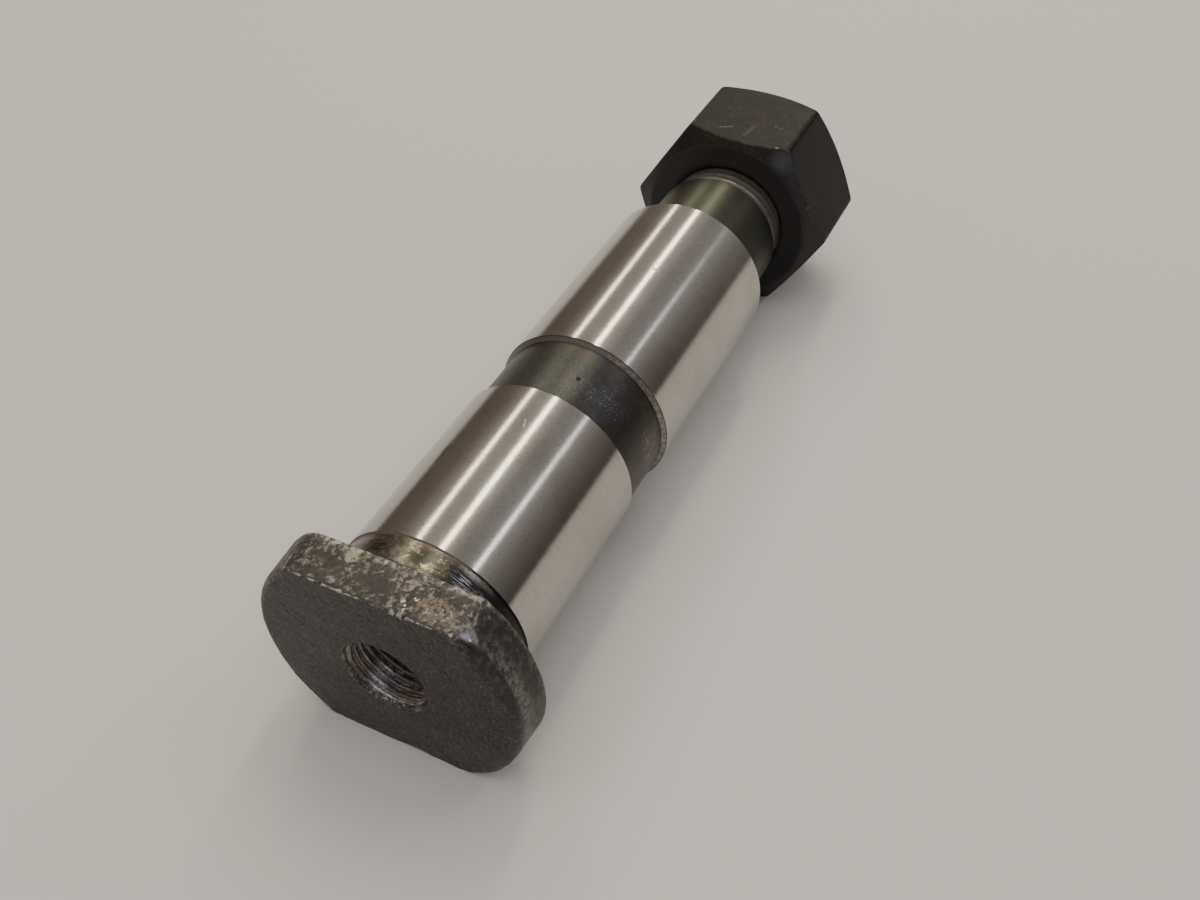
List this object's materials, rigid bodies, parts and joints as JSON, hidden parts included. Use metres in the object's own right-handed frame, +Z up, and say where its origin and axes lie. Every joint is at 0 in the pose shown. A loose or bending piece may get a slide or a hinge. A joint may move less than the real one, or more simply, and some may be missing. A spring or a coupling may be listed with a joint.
{
  "type": "leaf spring pin with nut",
  "caption": "Leaf spring pin with a double-D head, threaded grease port, two ground journals either side of a relief, and a hex nut on its threaded end.",
  "frame": {"origin": "middle of the pin's length, on the ground that it lies on, below its axis", "axes": "+X along the pin from head to nut, +Z up, square to the head's upper flat"},
  "size_m": [0.192, 0.0554, 0.0474],
  "materials": {
    "pin_steel": "forged head and relief dark and unground, journals ground bright, neck turned and oxidised",
    "nut_black_oxide": "black oxide, lightly scuffed"
  },
  "bodies": {
    "pin": {"spring_pin": "pin_steel"},
    "nut": {"hex_nut": "nut_black_oxide"}
  },
  "joints": [
    {"name": "nut_turn", "type": "hinge", "parent": "pin", "child": "nut", "pos_m": [0.0769, 0, 0.02368], "axis": [1, 0, 0], "continuous": true}
  ]
}
